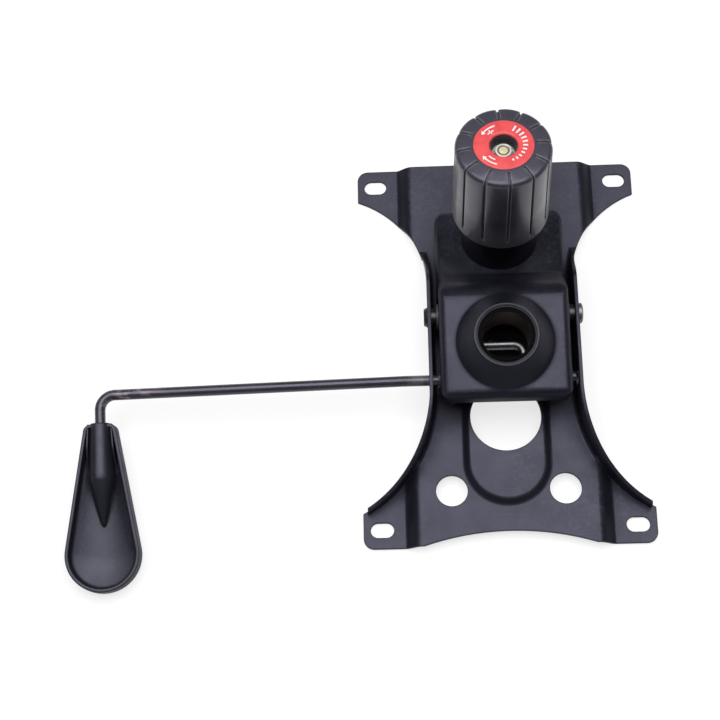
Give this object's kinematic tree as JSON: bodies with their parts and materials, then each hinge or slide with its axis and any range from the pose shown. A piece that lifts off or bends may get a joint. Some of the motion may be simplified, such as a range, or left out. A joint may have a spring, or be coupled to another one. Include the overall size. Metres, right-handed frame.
{
  "type": "office chair tilt mechanism",
  "caption": "Butterfly seat plate pivoted on a drawn steel housing with a tapered gas lift socket, a spring tension knob and a cranked height lever with a paddle handle.",
  "frame": {"origin": "centre of the four seat bolt slots, on the plane of the face that meets the seat", "axes": "+Z away from the seat and out of the gas lift socket (down when the chair is in use), +Y toward the chair's front, where the tension knob is, +X away from the lever. The part lies on its seat face, as pictured; turned half a turn about X it fits under a seat."},
  "size_m": [0.3526, 0.2719, 0.1239],
  "materials": {
    "black_powder_coat": "satin",
    "bare_steel": "satin",
    "zinc_steel": "satin",
    "spring_steel": "oiled",
    "white_nylon": "matte",
    "black_plastic": "matte",
    "handle_plastic": "fine texture",
    "black_rubber": "matte",
    "red_label": "satin"
  },
  "bodies": {
    "plate": {"seat_plate": "black_powder_coat", "pivot_axle": "black_powder_coat", "axle_cap": "bare_steel", "pivot_spacer_left": "bare_steel", "pivot_spacer_right": "bare_steel"},
    "housing": {"tilt_housing": "black_powder_coat", "taper_socket": "bare_steel", "pivot_bush_left": "white_nylon", "pivot_bush_right": "white_nylon", "lever_bush_left": "black_plastic", "lever_bush_right": "black_plastic", "spring_sleeve": "black_plastic", "spring_seat": "bare_steel", "tension_spring": "spring_steel", "stop_bumper": "black_rubber"},
    "bolt": {"tension_bolt": "zinc_steel"},
    "washer": {"thrust_washer": "bare_steel"},
    "knob": {"tension_knob": "black_plastic", "knob_label": "red_label", "knob_nut": "zinc_steel"},
    "collar": {"lever_collar": "white_nylon"},
    "lever": {"lever_rod": "black_powder_coat", "lever_handle": "handle_plastic"}
  },
  "joints": [
    {"name": "seat_tilt", "type": "hinge", "parent": "plate", "child": "housing", "pos_m": [0, 0.0135, 0.026], "axis": [1, 0, 0], "range_deg": [0, 12], "stiffness_Nm_per_rad": 45, "springref_deg": -12.61},
    {"name": "bolt_draw", "type": "slide", "parent": "housing", "child": "bolt", "axis": [0, -0.1908, -0.9816], "range_m": [0, 0.00981], "deforming": ["tension_spring"]},
    {"name": "tension_travel", "type": "slide", "parent": "bolt", "child": "washer", "axis": [0, -0.1908, -0.9816], "range_m": [0, 0.01201]},
    {"name": "knob_turn", "type": "hinge", "parent": "washer", "child": "knob", "pos_m": [0, 0.06362, 0.02798], "axis": [0, -0.1908, -0.9816], "range_deg": [0, 2880]},
    {"name": "lever_push", "type": "slide", "parent": "housing", "child": "collar", "axis": [1, 0, 0], "range_m": [0, 0.01]},
    {"name": "lever_lift", "type": "hinge", "parent": "collar", "child": "lever", "pos_m": [0, -0.02657, 0.025], "axis": [-1, 0, 0], "range_deg": [0, 10]}
  ],
  "couplings": [
    {"joint": "bolt_draw", "follows": "seat_tilt", "m_per_rad": 0.046819},
    {"joint": "tension_travel", "follows": "knob_turn", "m_per_rad": 0.00023873}
  ]
}
